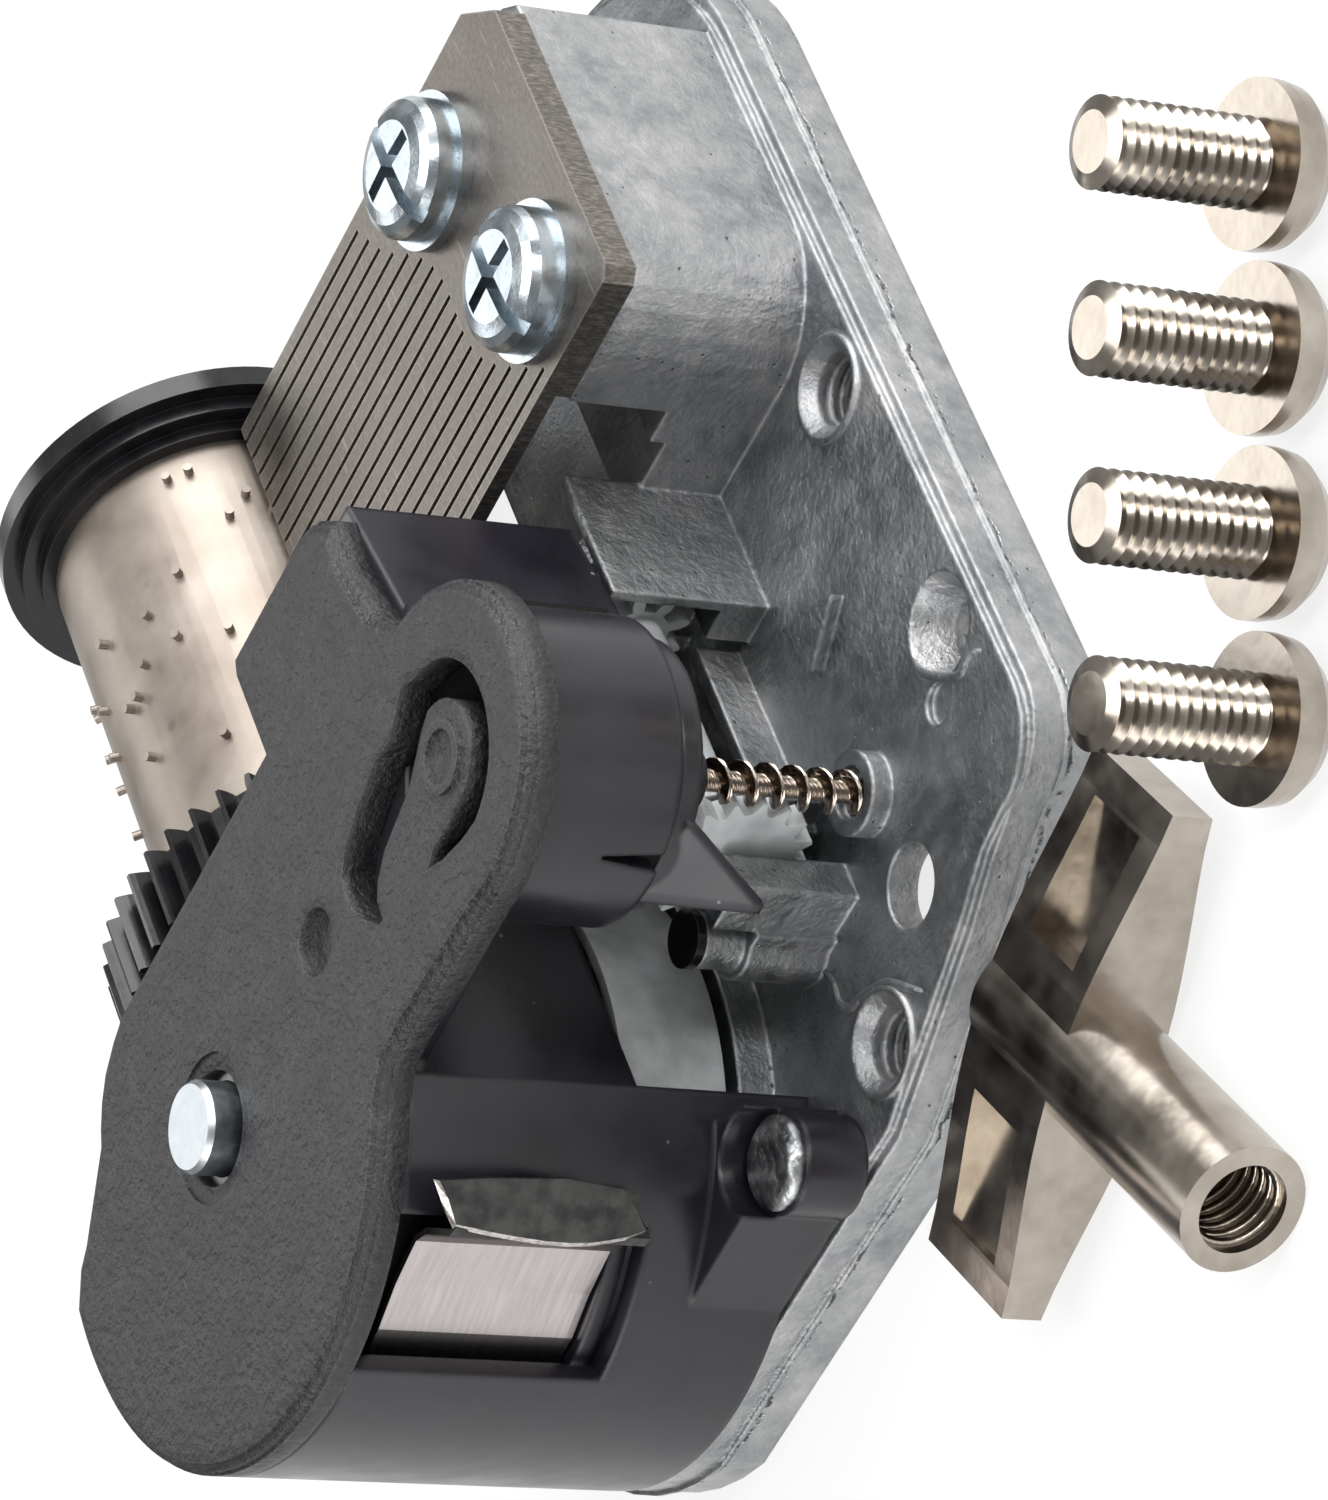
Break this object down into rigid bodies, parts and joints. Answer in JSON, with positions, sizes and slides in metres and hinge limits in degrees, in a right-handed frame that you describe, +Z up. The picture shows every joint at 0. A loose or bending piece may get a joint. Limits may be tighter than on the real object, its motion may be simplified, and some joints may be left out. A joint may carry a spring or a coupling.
{
  "type": "cylinder music movement",
  "caption": "Wind-up cylinder music movement: pinned cylinder, comb, spring housing, gear train and fan governor on a cast plate, with winding key and mounting screws.",
  "frame": {"origin": "middle of the base plate's footprint, on its underside", "axes": "+X along the cylinder from its gear to its flange, +Y from the comb's root to the cylinder, +Z up from the plate"},
  "size_m": [0.0613, 0.0604, 0.0204],
  "materials": {
    "zinc_casting": "rough",
    "comb_steel": "satin",
    "lead": "matte",
    "plated_steel": "polished",
    "black_nylon": "satin",
    "white_nylon": "satin",
    "spring_steel": "satin",
    "nickel": "polished"
  },
  "bodies": {
    "base": {"base_plate": "zinc_casting", "comb": "comb_steel", "tuning_leads": "lead", "comb_washers": "plated_steel", "comb_screws": "plated_steel", "spring_housing": "black_nylon", "housing_rivets": "plated_steel", "top_cover": "black_nylon", "post_cap": "black_nylon", "mainspring": "spring_steel", "arbor_collar": "black_nylon"},
    "cylinder": {"cylinder_tube": "nickel", "flange_cap": "black_nylon", "cylinder_gear": "black_nylon", "cylinder_shaft": "plated_steel"},
    "drive": {"drive_wheel": "white_nylon", "clutch_spring": "spring_steel"},
    "arbor": {"winding_arbor": "plated_steel"},
    "idler": {"idler_gear": "white_nylon", "idler_shaft": "plated_steel"},
    "worm_wheel": {"worm_wheel": "white_nylon", "worm_wheel_shaft": "plated_steel"},
    "governor": {"governor_worm": "nickel", "governor_fan": "black_nylon"},
    "key": {"winding_key": "nickel"},
    "screws": {"mounting_screws": "nickel"}
  },
  "joints": [
    {"name": "cylinder_spin", "type": "hinge", "parent": "base", "child": "cylinder", "pos_m": [0, 0.0086, 0.0106], "axis": [1, 0, 0], "continuous": true},
    {"name": "drive_spin", "type": "hinge", "parent": "base", "child": "drive", "pos_m": [-0.0137, 0.008, 0.007], "axis": [0, 0, 1], "continuous": true},
    {"name": "winding", "type": "hinge", "parent": "drive", "child": "arbor", "pos_m": [-0.0137, 0.008, 0.0003], "axis": [0, 0, 1], "range_deg": [0, 1440]},
    {"name": "idler_spin", "type": "hinge", "parent": "base", "child": "idler", "pos_m": [-0.0033, -0.00289, 0.00887], "axis": [1, 0, 0], "continuous": true},
    {"name": "worm_wheel_spin", "type": "hinge", "parent": "base", "child": "worm_wheel", "pos_m": [-0.0144, -0.00747, 0.00715], "axis": [1, 0, 0], "continuous": true},
    {"name": "governor_spin", "type": "hinge", "parent": "base", "child": "governor", "pos_m": [-0.0144, -0.01075, 0.01], "axis": [0, 0, 1], "continuous": true},
    {"name": "key_lift", "type": "slide", "parent": "base", "child": "key", "axis": [0, 0, 1], "range_m": [0, 0.02]},
    {"name": "screws_lift", "type": "slide", "parent": "base", "child": "screws", "axis": [0, 0, 1], "range_m": [0, 0.02]}
  ],
  "couplings": [
    {"joint": "drive_spin", "follows": "cylinder_spin", "ratio": 0.27778},
    {"joint": "idler_spin", "follows": "cylinder_spin", "ratio": -2.5556},
    {"joint": "worm_wheel_spin", "follows": "cylinder_spin", "ratio": 5.1111},
    {"joint": "governor_spin", "follows": "cylinder_spin", "ratio": 86.889}
  ]
}
